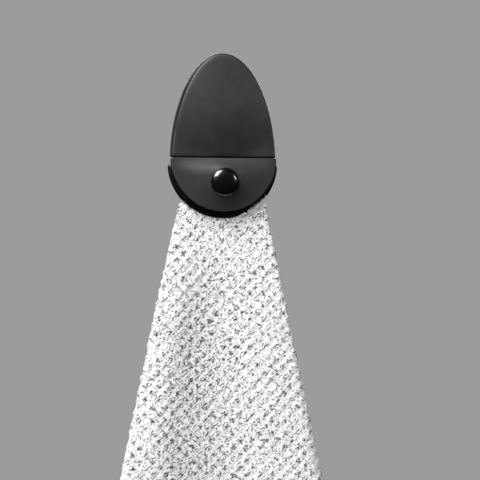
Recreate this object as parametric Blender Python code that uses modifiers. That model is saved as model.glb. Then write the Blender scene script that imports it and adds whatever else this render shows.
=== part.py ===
"""A magnetic golf towel: a silicone tab with a magnet pod, and a waffle towel that snaps to it.

Metres, +Z up, the front faces -Y. The origin is the middle of the flat magnet face on the back
of the pod. The tab is egg shaped: the pod is its upper part, and below the crease a thin flap
carries the snap. The towel hangs by one corner, which is clamped between two half-round patches.

A piece's place through the thickness is its depth: 0 at the magnet face, growing to the front.
"""

import math

import bmesh
import bpy
from mathutils import Vector

MM = 0.001
GAP = 0.3 * MM  # clearance between two pieces that touch
TURN_STEPS = 32  # facets round a turned piece

# Tab outline, seen from the front
TAB_HALF_WIDTH = 28.4 * MM
CREASE_Z = -28.0 * MM  # the crease that divides the pod from the flap
POD_HEIGHT = 56.4 * MM  # from the crease to the top of the pod
POD_TAPER = 1.11  # 1 is a half ellipse, more draws the top in like an egg
CREASE_WIDTH = 0.4 * MM

# Magnet pod, through its thickness
COVER_THICKNESS = 1.2 * MM
COVER_SHARE = 0.965  # size of the back cover as a share of the pod outline
MAGNET_RADIUS = 9.0 * MM
MAGNET_THICKNESS = 4.0 * MM
MAGNET_SPACING = 6.0 * MM  # between the two lower magnets
MAGNET_UPPER_Z = 12.0 * MM
MAGNET_LOWER_Z = -9.5 * MM
KEEPER_THICKNESS = 1.2 * MM
KEEPER_SIDE_MARGIN = 1.72 * MM  # past the outer side of the lower magnets
KEEPER_TOP_MARGIN = 0.88 * MM  # past the top of the upper magnet
POD_CROWN = 10.8 * MM  # depth of the pod's front at its middle
POD_EDGE = 6.0 * MM  # depth where the side wall turns into the front
POD_CENTRE_Z = -5.0 * MM  # the middle of the crown
POD_SHOULDER = 7.4 * MM  # depth of the front just inside its rounded edge
SHOULDER_SHARE = 0.965  # size of the outline there, as a share of the pod outline
ROUNDING_SHARE = 0.992  # and half way round the edge

# Towel clamp, listed from the back to the front
STACK_BACK = 0.2 * MM
RIVET_FLANGE = 0.5 * MM
PATCH_THICKNESS = 1.0 * MM
CLOTH_THICKNESS = 1.4 * MM  # as pressed between the patches
STUD_FLANGE = 0.4 * MM
STUD_HEIGHT = 1.4 * MM  # of the knob above its flange
RIVET_HEAD = 0.3 * MM
CAP_FLARE = 0.4 * MM
SOCKET_WEB = 0.4 * MM
FLAP_THICKNESS = 1.8 * MM
FLAP_CORNER = 0.8 * MM
FLAP_EDGE = 0.5 * MM  # how far round the flap's edge is rounded
FLAP_EDGE_SHARE = 0.97  # size of the flap's face inside its rounded edge
CAP_HEIGHT = 2.9 * MM

# Radii round the snap
SNAP_DROP = 13.4 * MM  # from the crease down to the middle of the snap
CAP_RADIUS = 7.7 * MM
CAP_POST_RADIUS = 1.6 * MM
CAP_FLARE_RADIUS = 2.6 * MM
SOCKET_RADIUS = 6.3 * MM
SOCKET_WALL = 0.6 * MM
SPRING_WIRE = 0.35 * MM  # radius of the wire
SPRING_OPENING = math.radians(30)
STUD_FLANGE_RADIUS = 6.0 * MM
STUD_KNOB_RADIUS = 3.1 * MM
STUD_NECK_RADIUS = 2.8 * MM
RIVET_RADIUS = 1.9 * MM
RIVET_FLANGE_RADIUS = 5.8 * MM

# Patches and towel, seen from the front
PATCH_RIM = 1.9 * MM  # how far the patches stand out past the flap
PATCH_TOP_DROP = 2.8 * MM  # from the crease down to the patches' straight top edge
PATCH_CORNER = 2.6 * MM
CORNER_APEX_DROP = 0.5 * MM  # from the crease down to where the towel's two edges would meet
CORNER_TRIM = 1.0 * MM  # the corner's tip is cut this far under the patches' top
SWING_DROP = 2.3 * MM  # from the patches' lowest point down to where the towel bends
SIDE_SLOPE = math.tan(math.radians(11.8))  # how the hanging towel widens on each side
TOWEL_DIAGONAL = 560.0 * MM  # from the clamped corner to the lowest corner, as it hangs
WIDEST_DEPTH = 372.0 * MM  # from the clamped corner to where the towel is widest
TOWEL_TIP = 4.0 * MM  # the lowest corner is blunt by this much
TOWEL_HALF_DEPTH = 20.0 * MM  # of the folds, where they are thickest
THICKEST_DEPTH = 330.0 * MM
TOWEL_SQUARENESS = 2.4  # exponent of the towel's section: 2 is an ellipse
HEM_RADIUS = 1.0 * MM
HEM_CLEARANCE = 0.6 * MM  # between a hem and the cloth
HEM_START_SHARE = 0.72  # where an upper hem starts, as a share of the towel's half width
HEM_SWEEP = 1.36  # how far it then crosses the back, as a share of the half width
HEM_TOP_DROP = 14.0 * MM  # from the bend down to where an upper hem starts
HEM_CORNER_CLEARANCE = 7.0 * MM  # the hems end this far from the widest depth
HEM_TIP_CLEARANCE = 12.0 * MM  # and this far from the lowest corner

# Worked out from the sizes above
MAGNET_SPREAD = MAGNET_RADIUS + MAGNET_SPACING / 2
POD_TOP_Z = CREASE_Z + CREASE_WIDTH / 2 + POD_HEIGHT
KEEPER_HALF_WIDTH = MAGNET_SPREAD + MAGNET_RADIUS + KEEPER_SIDE_MARGIN
KEEPER_RISE = MAGNET_UPPER_Z + MAGNET_RADIUS + KEEPER_TOP_MARGIN - POD_CENTRE_Z
KEEPER_SHARE = max(KEEPER_HALF_WIDTH / TAB_HALF_WIDTH, KEEPER_RISE / (POD_TOP_Z - POD_CENTRE_Z))
PATCH_RADIUS = TAB_HALF_WIDTH + PATCH_RIM
COVER_FRONT = COVER_THICKNESS
MAGNET_BACK = COVER_FRONT + GAP
MAGNET_FRONT = MAGNET_BACK + MAGNET_THICKNESS
KEEPER_BACK = MAGNET_FRONT + GAP
KEEPER_FRONT = KEEPER_BACK + KEEPER_THICKNESS
RIVET_FLANGE_FRONT = STACK_BACK + RIVET_FLANGE
BACK_PATCH_BACK = RIVET_FLANGE_FRONT + GAP
BACK_PATCH_FRONT = BACK_PATCH_BACK + PATCH_THICKNESS
CLOTH_BACK = BACK_PATCH_FRONT + GAP
CLOTH_FRONT = CLOTH_BACK + CLOTH_THICKNESS
FRONT_PATCH_BACK = CLOTH_FRONT + GAP
FRONT_PATCH_FRONT = FRONT_PATCH_BACK + PATCH_THICKNESS
STUD_BACK = FRONT_PATCH_FRONT + GAP
STUD_FLANGE_FRONT = STUD_BACK + STUD_FLANGE
STUD_TOP = STUD_FLANGE_FRONT + STUD_HEIGHT
RIVET_HEAD_BACK = STUD_TOP + GAP
RIVET_TOP = RIVET_HEAD_BACK + RIVET_HEAD
CAP_FLARE_BACK = RIVET_TOP + GAP
CAP_FLARE_FRONT = CAP_FLARE_BACK + CAP_FLARE
SOCKET_WEB_BACK = CAP_FLARE_FRONT + GAP
SOCKET_FRONT = SOCKET_WEB_BACK + SOCKET_WEB
SOCKET_BACK = STUD_FLANGE_FRONT + GAP
FLAP_SEAT_BACK = SOCKET_FRONT + GAP
FLAP_SEAT_FRONT = FLAP_SEAT_BACK + FLAP_THICKNESS
CAP_RIM = FLAP_SEAT_FRONT + GAP
FLAP_RIM_BACK = FRONT_PATCH_FRONT + GAP
FLAP_RIM_FRONT = FLAP_RIM_BACK + FLAP_THICKNESS
POD_BASE_Z = CREASE_Z + CREASE_WIDTH / 2
FLAP_TOP_Z = CREASE_Z - CREASE_WIDTH / 2
SNAP_Z = CREASE_Z - SNAP_DROP
PATCH_TOP_Z = CREASE_Z - PATCH_TOP_DROP
PATCH_BOTTOM_Z = PATCH_TOP_Z - PATCH_RADIUS
SWING_Z = PATCH_BOTTOM_Z - SWING_DROP
CLOTH_DEPTH = (CLOTH_BACK + CLOTH_FRONT) / 2
CORNER_APEX_Z = CREASE_Z - CORNER_APEX_DROP
CORNER_BOTTOM_Z = SWING_Z + CLOTH_THICKNESS / 2 + 2 * GAP


# Scene and materials


def clear_scene():
    for obj in list(bpy.data.objects):
        bpy.data.objects.remove(obj, do_unlink=True)


def new_collection(name):
    collection = bpy.data.collections.new(name)
    bpy.context.scene.collection.children.link(collection)
    return collection


def material(name, colour, roughness, metallic=0.0):
    made = bpy.data.materials.new(name)
    made.use_nodes = True
    shader = made.node_tree.nodes["Principled BSDF"]
    shader.inputs["Base Color"].default_value = (*colour, 1.0)
    shader.inputs["Roughness"].default_value = roughness
    shader.inputs["Metallic"].default_value = metallic
    return made


clear_scene()
PARTS = new_collection("golf_towel")
SILICONE = material("grey_silicone", (0.050, 0.050, 0.056), 0.55)
COVER = material("black_silicone", (0.012, 0.012, 0.013), 0.60)
PATCH = material("black_patch", (0.010, 0.010, 0.011), 0.50)
GLOSS_BLACK = material("black_enamel", (0.004, 0.004, 0.004), 0.12)
STEEL = material("keeper_steel", (0.56, 0.57, 0.58), 0.35, 1.0)
NICKEL = material("magnet_nickel", (0.72, 0.70, 0.66), 0.20, 1.0)
SPRING = material("spring_wire", (0.62, 0.60, 0.56), 0.25, 1.0)
WAFFLE = material("white_waffle", (0.82, 0.82, 0.83), 0.95)
HEM = material("white_hem", (0.78, 0.78, 0.79), 0.90)


# Making shapes


def add_object(name, data, finish):
    obj = bpy.data.objects.new(name, data)
    data.materials.append(finish)
    PARTS.objects.link(obj)
    return obj


def axis_empty(name, y, z, parent=None):
    """An empty on a joint's axis. The pieces that the joint moves hang on it."""
    empty = bpy.data.objects.new(name, None)
    empty.empty_display_size = 10 * MM
    empty.location = (0.0, y, z)
    PARTS.objects.link(empty)
    bpy.context.view_layer.update()
    if parent is not None:
        hang_on(empty, parent)
    return empty


def hang_on(obj, empty):
    """Parent obj to the empty and leave it where it is."""
    bpy.context.view_layer.update()
    obj.parent = empty
    obj.matrix_parent_inverse = empty.matrix_world.inverted()


def in_front(points, depth):
    """Outline points (x, z) as corners at a depth."""
    return [Vector((x, -depth, z)) for x, z in points]


def loft(name, rings, finish, closed=False, sharp=35.0):
    """A solid through rings of equally many corners. A closed loft joins its last ring to its
    first, which leaves a hole through the middle. Any other gets a flat face at each end."""
    bm = bmesh.new()
    loops = [[bm.verts.new(corner) for corner in ring] for ring in rings]
    pairs = list(zip(loops, loops[1:]))
    if closed:
        pairs.append((loops[-1], loops[0]))
    else:
        bm.faces.new(reversed(loops[0]))
        bm.faces.new(loops[-1])
    count = len(loops[0])
    for lower, upper in pairs:
        for i in range(count):
            j = (i + 1) % count
            bm.faces.new((lower[i], lower[j], upper[j], upper[i]))
    bmesh.ops.recalc_face_normals(bm, faces=bm.faces)
    mesh = bpy.data.meshes.new(name)
    bm.to_mesh(mesh)
    bm.free()
    mesh.shade_smooth()
    mesh.set_sharp_from_angle(angle=math.radians(sharp))
    return add_object(name, mesh, finish)


def plate(name, outlines, back, front, finish):
    """A flat plate from one outline and its holes, between two depths."""
    curve = bpy.data.curves.new(name, "CURVE")
    curve.dimensions = "2D"
    curve.fill_mode = "BOTH"
    curve.extrude = (front - back) / 2
    for points in outlines:
        spline = curve.splines.new("POLY")
        spline.points.add(len(points) - 1)
        for point, (x, z) in zip(spline.points, points):
            point.co = (x, z, 0.0, 1.0)
        spline.use_cyclic_u = True
    obj = add_object(name, curve, finish)
    obj.rotation_euler = (math.radians(90), 0.0, 0.0)
    obj.location = (0.0, -(back + front) / 2, 0.0)
    return obj


def turned(name, profile, finish, ring=False):
    """A piece turned about the snap's axis. The profile gives (radius, depth) from the front
    down the outer side to the back, and a ring's profile closes on itself."""
    mesh = bpy.data.meshes.new(name)
    edges = [(i, i + 1) for i in range(len(profile) - 1)]
    if ring:
        edges.append((len(profile) - 1, 0))
    mesh.from_pydata([(radius, 0.0, depth) for radius, depth in profile], edges, [])
    obj = add_object(name, mesh, finish)
    obj.rotation_euler = (math.radians(90), 0.0, 0.0)
    obj.location = (0.0, 0.0, SNAP_Z)
    screw = obj.modifiers.new("turn", "SCREW")
    screw.steps = TURN_STEPS
    screw.render_steps = TURN_STEPS
    screw.use_merge_vertices = True
    screw.merge_threshold = 0.001 * MM
    screw.use_smooth_shade = True
    return obj


def tube(name, points, radius, finish):
    """A round wire or hem with filled ends through the points."""
    curve = bpy.data.curves.new(name, "CURVE")
    curve.dimensions = "3D"
    curve.bevel_depth = radius
    curve.bevel_resolution = 1
    curve.use_fill_caps = True
    spline = curve.splines.new("POLY")
    spline.points.add(len(points) - 1)
    for point, corner in zip(spline.points, points):
        point.co = (*corner, 1.0)
    return add_object(name, curve, finish)


# Outlines, as points (x, z) seen from the front


def circle(radius, x=0.0, z=0.0, steps=TURN_STEPS):
    angles = [2 * math.pi * i / steps for i in range(steps)]
    return [(x + radius * math.cos(a), z + radius * math.sin(a)) for a in angles]


def egg(share=1.0, steps=40):
    """The pod's outline, or the same outline drawn in towards the middle of its crown."""
    points = []
    for i in range(steps + 1):
        a = math.pi * i / steps
        x = TAB_HALF_WIDTH * math.cos(a)
        z = POD_BASE_Z + POD_HEIGHT * math.sin(a) ** POD_TAPER
        points.append((x * share, POD_CENTRE_Z + (z - POD_CENTRE_Z) * share))
    return points


def half_disc(radius, top_z, corner, arc_steps=36, corner_steps=4, top_steps=10):
    """A half disc that hangs from its straight top edge, with rounded top corners."""
    across = math.sqrt((radius - corner) ** 2 - corner**2)
    turn = -math.atan2(corner, across)
    points = []
    for i in range(corner_steps + 1):
        a = math.pi / 2 + (turn - math.pi / 2) * i / corner_steps
        x = across + corner * math.cos(a)
        points.append((x, top_z - corner + corner * math.sin(a)))
    for i in range(1, arc_steps):
        a = turn - (math.pi + 2 * turn) * i / arc_steps
        points.append((radius * math.cos(a), top_z + radius * math.sin(a)))
    points += [(-x, z) for x, z in reversed(points[: corner_steps + 1])]
    for i in range(1, top_steps):
        points.append((-across + 2 * across * i / top_steps, top_z))
    return points


def toward_circle(points, radius, share):
    """The outline moved along its spokes towards a circle round the snap: share 1 is there."""
    moved = []
    for x, z in points:
        reach = math.hypot(x, z - SNAP_Z)
        factor = 1.0 + share * (radius / reach - 1.0)
        moved.append((x * factor, SNAP_Z + (z - SNAP_Z) * factor))
    return moved


# Magnet pod


def make_pod():
    """The pod's silicone front, crowned, with a pocket in its back for the magnets."""
    rim = (POD_EDGE + POD_SHOULDER) / 2
    rings = [
        in_front(egg(), MAGNET_BACK),
        in_front(egg(), POD_EDGE),
        in_front(egg(ROUNDING_SHARE), rim),
        in_front(egg(SHOULDER_SHARE), POD_SHOULDER),
    ]
    crown_rings = 7
    for i in range(1, crown_rings):
        share = SHOULDER_SHARE * (1 - i / crown_rings)
        rise = math.sin(math.pi / 2 * i / crown_rings)
        rings.append(in_front(egg(share), POD_SHOULDER + (POD_CROWN - POD_SHOULDER) * rise))
    skin = loft("pod_front_skin", rings, SILICONE)

    pocket = plate(
        "pod_pocket_cutter",
        [egg(KEEPER_SHARE + GAP / TAB_HALF_WIDTH)],
        MAGNET_BACK - 1 * MM,
        KEEPER_FRONT + GAP,
        SILICONE,
    )
    cut(skin, as_cutter(pocket))

    plate("pod_back_cover", [egg(COVER_SHARE)], 0.0, COVER_FRONT, COVER)
    plate("keeper_plate", [egg(KEEPER_SHARE)], KEEPER_BACK, KEEPER_FRONT, STEEL)
    places = {
        "magnet_upper": (0.0, MAGNET_UPPER_Z),
        "magnet_left": (-MAGNET_SPREAD, MAGNET_LOWER_Z),
        "magnet_right": (MAGNET_SPREAD, MAGNET_LOWER_Z),
    }
    for name, (x, z) in places.items():
        plate(name, [circle(MAGNET_RADIUS, x, z)], MAGNET_BACK, MAGNET_FRONT, NICKEL)


def as_cutter(obj):
    """The object as a closed mesh in the cutters' collection, left out of the part."""
    bpy.context.view_layer.update()
    graph = bpy.context.evaluated_depsgraph_get()
    mesh = bpy.data.meshes.new_from_object(obj.evaluated_get(graph))
    bm = bmesh.new()
    bm.from_mesh(mesh)
    bmesh.ops.remove_doubles(bm, verts=bm.verts, dist=0.001 * MM)
    bmesh.ops.recalc_face_normals(bm, faces=bm.faces)
    bm.to_mesh(mesh)
    bm.free()
    cutter = bpy.data.objects.new(obj.name, mesh)
    cutter.matrix_world = obj.matrix_world.copy()
    cutter.hide_render = True
    cutter.display_type = "WIRE"
    CUTTERS.objects.link(cutter)
    bpy.data.objects.remove(obj, do_unlink=True)
    return cutter


def cut(obj, cutter):
    boolean = obj.modifiers.new("cut", "BOOLEAN")
    boolean.operation = "DIFFERENCE"
    boolean.solver = "EXACT"
    boolean.object = cutter


# Snap flap


def make_flap(hinge):
    """The thin flap below the crease. It domes forward over the snap and is clamped by it."""
    outline = half_disc(TAB_HALF_WIDTH, FLAP_TOP_Z, FLAP_CORNER)
    face = inside(outline, FLAP_EDGE_SHARE)
    seat = CAP_RADIUS + GAP
    hole = CAP_POST_RADIUS + GAP
    rise = FLAP_SEAT_FRONT - FLAP_RIM_FRONT
    rings = [in_front(toward_circle(outline, hole, 1.0), FLAP_SEAT_BACK)]
    steps = 6
    for i in range(steps + 1):
        share = 1 - i / steps
        lift = (1 - math.cos(math.pi * share)) / 2
        ring = toward_circle(face, seat - FLAP_THICKNESS / 2, share)
        rings.append(in_front(ring, FLAP_RIM_BACK + rise * lift))
    rings.append(in_front(outline, FLAP_RIM_BACK + FLAP_EDGE))
    rings.append(in_front(outline, FLAP_RIM_FRONT - FLAP_EDGE))
    for i in range(steps + 1):
        share = i / steps
        lift = (1 - math.cos(math.pi * share)) / 2
        ring = toward_circle(face, seat, share)
        rings.append(in_front(ring, FLAP_RIM_FRONT + rise * lift))
    rings.append(in_front(toward_circle(outline, hole, 1.0), FLAP_SEAT_FRONT))
    hang_on(loft("flap_skin", rings, SILICONE, closed=True), hinge)

    cap = [
        (0.0, CAP_RIM + CAP_HEIGHT),
        (CAP_RADIUS * 0.35, CAP_RIM + CAP_HEIGHT * 0.96),
        (CAP_RADIUS * 0.65, CAP_RIM + CAP_HEIGHT * 0.82),
        (CAP_RADIUS * 0.86, CAP_RIM + CAP_HEIGHT * 0.59),
        (CAP_RADIUS * 0.97, CAP_RIM + CAP_HEIGHT * 0.30),
        (CAP_RADIUS, CAP_RIM + CAP_HEIGHT * 0.10),
        (CAP_RADIUS * 0.97, CAP_RIM),
        (CAP_POST_RADIUS, CAP_RIM),
        (CAP_POST_RADIUS, CAP_FLARE_FRONT),
        (CAP_FLARE_RADIUS, CAP_FLARE_FRONT),
        (CAP_FLARE_RADIUS, CAP_FLARE_BACK),
        (0.0, CAP_FLARE_BACK),
    ]
    hang_on(turned("snap_cap", cap, GLOSS_BLACK), hinge)

    lip = STUD_KNOB_RADIUS + GAP + 0.2 * MM
    lip_front = SOCKET_BACK + SOCKET_WALL * 0.7
    wall_inside = SOCKET_RADIUS - SOCKET_WALL
    socket = [
        (CAP_POST_RADIUS + GAP, SOCKET_FRONT),
        (SOCKET_RADIUS, SOCKET_FRONT),
        (SOCKET_RADIUS, SOCKET_BACK),
        (lip, SOCKET_BACK),
        (lip, lip_front),
        (wall_inside, lip_front),
        (wall_inside, SOCKET_WEB_BACK),
        (CAP_POST_RADIUS + GAP, SOCKET_WEB_BACK),
    ]
    hang_on(turned("snap_socket", socket, GLOSS_BLACK, ring=True), hinge)
    return lip_front


def inside(points, share):
    """The flap's outline drawn in towards the snap."""
    return [(x * share, SNAP_Z + (z - SNAP_Z) * share) for x, z in points]


def make_spring(lip_front, snap):
    """The split ring that grips the stud. It lies in the socket on its lip."""
    ring_radius = STUD_KNOB_RADIUS + GAP + 0.1 * MM + SPRING_WIRE
    depth = lip_front + GAP + SPRING_WIRE
    steps = 28
    points = []
    for i in range(steps + 1):
        a = math.pi / 2 + SPRING_OPENING / 2 + (2 * math.pi - SPRING_OPENING) * i / steps
        points.append((ring_radius * math.cos(a), -depth, SNAP_Z + ring_radius * math.sin(a)))
    hang_on(tube("socket_spring", points, SPRING_WIRE, SPRING), snap)


# Towel clamp


def make_clamp(snap):
    """Two patches, the towel's corner between them, and the stud riveted through all three."""
    hole = circle(RIVET_RADIUS + GAP, 0.0, SNAP_Z)
    patch = half_disc(PATCH_RADIUS, PATCH_TOP_Z, PATCH_CORNER)
    back = plate("back_patch", [patch, hole], BACK_PATCH_BACK, BACK_PATCH_FRONT, PATCH)
    front = plate("front_patch", [patch, hole], FRONT_PATCH_BACK, FRONT_PATCH_FRONT, PATCH)
    corner = plate("towel_corner", [corner_outline(), hole], CLOTH_BACK, CLOTH_FRONT, WAFFLE)

    stud = [
        (RIVET_RADIUS + GAP, STUD_TOP),
        (STUD_KNOB_RADIUS - 0.3 * MM, STUD_TOP),
        (STUD_KNOB_RADIUS, STUD_TOP - 0.3 * MM),
        (STUD_KNOB_RADIUS, STUD_TOP - 0.7 * MM),
        (STUD_NECK_RADIUS, STUD_FLANGE_FRONT),
        (STUD_FLANGE_RADIUS, STUD_FLANGE_FRONT),
        (STUD_FLANGE_RADIUS, STUD_BACK),
        (RIVET_RADIUS + GAP, STUD_BACK),
    ]
    rivet = [
        (0.0, RIVET_TOP),
        (STUD_NECK_RADIUS, RIVET_TOP),
        (STUD_NECK_RADIUS, RIVET_HEAD_BACK),
        (RIVET_RADIUS, RIVET_HEAD_BACK),
        (RIVET_RADIUS, RIVET_FLANGE_FRONT),
        (RIVET_FLANGE_RADIUS, RIVET_FLANGE_FRONT),
        (RIVET_FLANGE_RADIUS, STACK_BACK),
        (0.0, STACK_BACK),
    ]
    pieces = [
        back,
        front,
        corner,
        turned("snap_stud", stud, GLOSS_BLACK, ring=True),
        turned("stud_rivet", rivet, GLOSS_BLACK),
    ]
    for piece in pieces:
        hang_on(piece, snap)


def corner_outline():
    """The towel's corner down to where it bends: square at its tip, then as it hangs."""
    tip_z = PATCH_TOP_Z - CORNER_TRIM
    tip = CORNER_APEX_Z - tip_z
    fold = fold_half_width()
    right = [
        (tip, tip_z),
        (fold, CORNER_APEX_Z - fold),
        (towel_half_width(CORNER_BOTTOM_Z), CORNER_BOTTOM_Z),
    ]
    return right + [(-x, z) for x, z in reversed(right)]


def fold_half_width():
    """Half the width where the towel's edges come out from under the patches and fold back."""
    b = PATCH_TOP_Z - CORNER_APEX_Z
    return (-b + math.sqrt(2 * PATCH_RADIUS**2 - b**2)) / 2


# Hanging towel


def towel_half_width(z):
    """Half the width of the hanging towel at a height: a wedge, rounded over to the low corner."""
    fold = fold_half_width()
    fold_z = CORNER_APEX_Z - fold
    widest_z = CORNER_APEX_Z - WIDEST_DEPTH
    tip_z = CORNER_APEX_Z - TOWEL_DIAGONAL
    wedge = fold + SIDE_SLOPE * (fold_z - z)
    if z > widest_z:
        return wedge
    at_widest = fold + SIDE_SLOPE * (fold_z - widest_z)
    share = (z - tip_z) / (widest_z - tip_z)
    return at_widest * share**0.8


def towel_half_depth(z):
    """Half the thickness of the towel's folds at a height."""
    thick_z = CORNER_APEX_Z - THICKEST_DEPTH
    tip_z = CORNER_APEX_Z - TOWEL_DIAGONAL
    if z > thick_z:
        share = (SWING_Z - z) / (SWING_Z - thick_z)
        swell = math.sin(math.pi / 2 * share) ** 0.8
    else:
        share = (z - tip_z) / (thick_z - tip_z)
        swell = math.sin(math.pi / 2 * share)
    return CLOTH_THICKNESS / 2 + (TOWEL_HALF_DEPTH - CLOTH_THICKNESS / 2) * swell


def towel_section(half_width, half_depth, z, steps=28):
    corners = []
    for i in range(steps):
        a = 2 * math.pi * i / steps
        power = 2 / TOWEL_SQUARENESS
        x = math.copysign(abs(math.cos(a)) ** power, math.cos(a)) * half_width
        y = math.copysign(abs(math.sin(a)) ** power, math.sin(a)) * half_depth
        corners.append(Vector((x, y - CLOTH_DEPTH, z)))
    return corners


def make_towel(swing):
    """The hanging towel's outer shape, and its four hems."""
    half = CLOTH_THICKNESS / 2
    top_width = towel_half_width(SWING_Z)
    rings = []
    for a in (75, 50, 25):
        rise = half * math.sin(math.radians(a))
        slim = half * math.cos(math.radians(a))
        rings.append(towel_section(top_width - half + slim, slim, SWING_Z + rise))
    drop = SWING_Z - (CORNER_APEX_Z - TOWEL_DIAGONAL) - TOWEL_TIP
    levels = 22
    for i in range(levels + 1):
        z = SWING_Z - drop * (i / levels) ** 1.25
        rings.append(towel_section(towel_half_width(z), towel_half_depth(z), z))
    hang_on(loft("towel_cloth", rings, WAFFLE, sharp=60.0), swing)
    for side, name in ((-1, "left"), (1, "right")):
        hang_on(tube(f"hem_upper_{name}", upper_hem(side), HEM_RADIUS, HEM), swing)
        hang_on(tube(f"hem_lower_{name}", lower_hem(side), HEM_RADIUS, HEM), swing)


def behind(x, z):
    """The y of the towel's back at a point seen from the front."""
    reach = min(1.0, abs(x) / towel_half_width(z))
    bulge = (1 - reach**TOWEL_SQUARENESS) ** (1 / TOWEL_SQUARENESS)
    return towel_half_depth(z) * bulge - CLOTH_DEPTH


def upper_hem(side):
    """An upper edge of the square, folded behind the towel and lying down its back. The right
    one lies over the left one."""
    over = HEM_RADIUS + HEM_CLEARANCE
    if side > 0:
        over += 2 * HEM_RADIUS + GAP
    start_z = SWING_Z - HEM_TOP_DROP
    end_z = CORNER_APEX_Z - WIDEST_DEPTH + HEM_CORNER_CLEARANCE
    steps = 20
    points = []
    for i in range(steps + 1):
        share = i / steps
        z = start_z + (end_z - start_z) * share
        across = HEM_START_SHARE - HEM_SWEEP * math.sin(math.pi / 2 * share)
        x = side * across * towel_half_width(z)
        points.append((x, behind(x, z) + over, z))
    return points


def lower_hem(side):
    """A lower edge of the square, round the bottom of the hanging towel."""
    start_z = CORNER_APEX_Z - WIDEST_DEPTH - HEM_CORNER_CLEARANCE
    end_z = CORNER_APEX_Z - TOWEL_DIAGONAL + HEM_TIP_CLEARANCE
    steps = 16
    points = []
    for i in range(steps + 1):
        z = start_z + (end_z - start_z) * i / steps
        x = side * (towel_half_width(z) + HEM_RADIUS + HEM_CLEARANCE)
        points.append((x, -CLOTH_DEPTH, z))
    return points


CUTTERS = new_collection("cutters")
CUTTERS.hide_render = True
HINGE_AXIS = axis_empty("tab_hinge_axis", -FLAP_RIM_FRONT, CREASE_Z)
SNAP_AXIS = axis_empty("snap_axis", -STUD_BACK, SNAP_Z, HINGE_AXIS)
SWING_AXIS = axis_empty("towel_swing_axis", -CLOTH_DEPTH, SWING_Z, SNAP_AXIS)

make_pod()
LIP_FRONT = make_flap(HINGE_AXIS)
make_spring(LIP_FRONT, SNAP_AXIS)
make_clamp(SNAP_AXIS)
make_towel(SWING_AXIS)
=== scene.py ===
# %% [markdown]
# # A magnetic golf towel
#
# A silicone tab holds magnets, so it can hang on anything made of steel. Below a crease in the tab
# a thin flap carries a snap, and a waffle towel hangs from the snap by one corner.
#
# The hard parts come from the CAD model. This file builds what that model leaves plain: the smooth
# silicone, the gloss cap, and above all the folded cloth with its weave, hems and stitches.

import math

import bmesh
import bpy
import numpy as np
from mathutils import Matrix, Vector


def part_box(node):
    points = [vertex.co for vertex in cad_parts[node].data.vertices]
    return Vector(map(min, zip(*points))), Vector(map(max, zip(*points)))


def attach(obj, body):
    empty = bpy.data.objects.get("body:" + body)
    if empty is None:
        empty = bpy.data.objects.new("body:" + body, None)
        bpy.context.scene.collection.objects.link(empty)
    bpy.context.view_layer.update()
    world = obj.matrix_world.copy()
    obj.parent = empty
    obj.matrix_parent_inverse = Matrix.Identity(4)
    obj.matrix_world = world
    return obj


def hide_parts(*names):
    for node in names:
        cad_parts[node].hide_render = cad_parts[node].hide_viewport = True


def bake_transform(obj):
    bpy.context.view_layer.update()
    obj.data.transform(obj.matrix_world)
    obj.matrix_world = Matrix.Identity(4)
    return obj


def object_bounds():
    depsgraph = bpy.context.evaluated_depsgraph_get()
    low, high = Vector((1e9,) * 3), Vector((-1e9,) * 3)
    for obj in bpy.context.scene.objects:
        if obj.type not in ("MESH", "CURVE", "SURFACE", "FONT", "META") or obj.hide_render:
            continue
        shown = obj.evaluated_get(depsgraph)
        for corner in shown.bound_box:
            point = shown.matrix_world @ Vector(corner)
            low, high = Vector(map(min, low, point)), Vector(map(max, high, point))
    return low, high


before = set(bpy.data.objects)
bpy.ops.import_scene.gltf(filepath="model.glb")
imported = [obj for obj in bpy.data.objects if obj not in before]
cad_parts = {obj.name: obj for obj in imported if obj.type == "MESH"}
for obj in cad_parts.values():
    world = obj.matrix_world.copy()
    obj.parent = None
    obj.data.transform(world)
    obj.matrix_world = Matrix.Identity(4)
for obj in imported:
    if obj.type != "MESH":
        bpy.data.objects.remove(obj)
cad_low, cad_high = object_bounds()
MM = 0.001
print("CAD box", [round(c / MM, 1) for c in (*cad_low, *cad_high)])

# %% [markdown]
# ## Camera
#
# A product picture like this is taken with a long lens from a little to the left and slightly
# below the tab, which lifts the middle of the crease. A long lens far away keeps the tab and the
# towel free of perspective. The picture cuts the towel off part of the way down.

# %% Camera
VIEW_TURN = math.radians(-10.0)  # to the left of straight in front
VIEW_RISE = math.radians(-1.5)  # and below level
VIEW_DISTANCE = 1.5
VIEW_WIDTH = 259 * MM  # what the picture's width covers at the tab
VIEW_CENTRE = Vector((9.6, -3.0, -72.3)) * MM

level = Vector((math.sin(VIEW_TURN), -math.cos(VIEW_TURN), 0.0))
to_camera = level * math.cos(VIEW_RISE) + Vector((0.0, 0.0, math.sin(VIEW_RISE)))
lens_data = bpy.data.cameras.new("camera")
lens_data.lens = lens_data.sensor_width * VIEW_DISTANCE / VIEW_WIDTH
camera = bpy.data.objects.new("camera", lens_data)
bpy.context.scene.collection.objects.link(camera)
camera.location = VIEW_CENTRE + to_camera * VIEW_DISTANCE
camera.rotation_euler = (-to_camera).to_track_quat("-Z", "Y").to_euler()
bpy.context.scene.camera = camera
bpy.context.scene.view_settings.view_transform = "Standard"
print("lens", round(lens_data.lens), "mm")

# %% [markdown]
# ## Studio
#
# The room is a plain grey surround that is brighter to the camera than to the object, as when black
# cards stand round it. One large soft light hangs to the upper left: it rakes down over the cloth,
# fades down the tab and shows in the cap as a soft highlight. A small light on the right gives the
# cap a second, smaller one. The side and front lights only fill, so gloss doesn't mirror them, and
# the back light keeps the towel's back from going dark.

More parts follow.
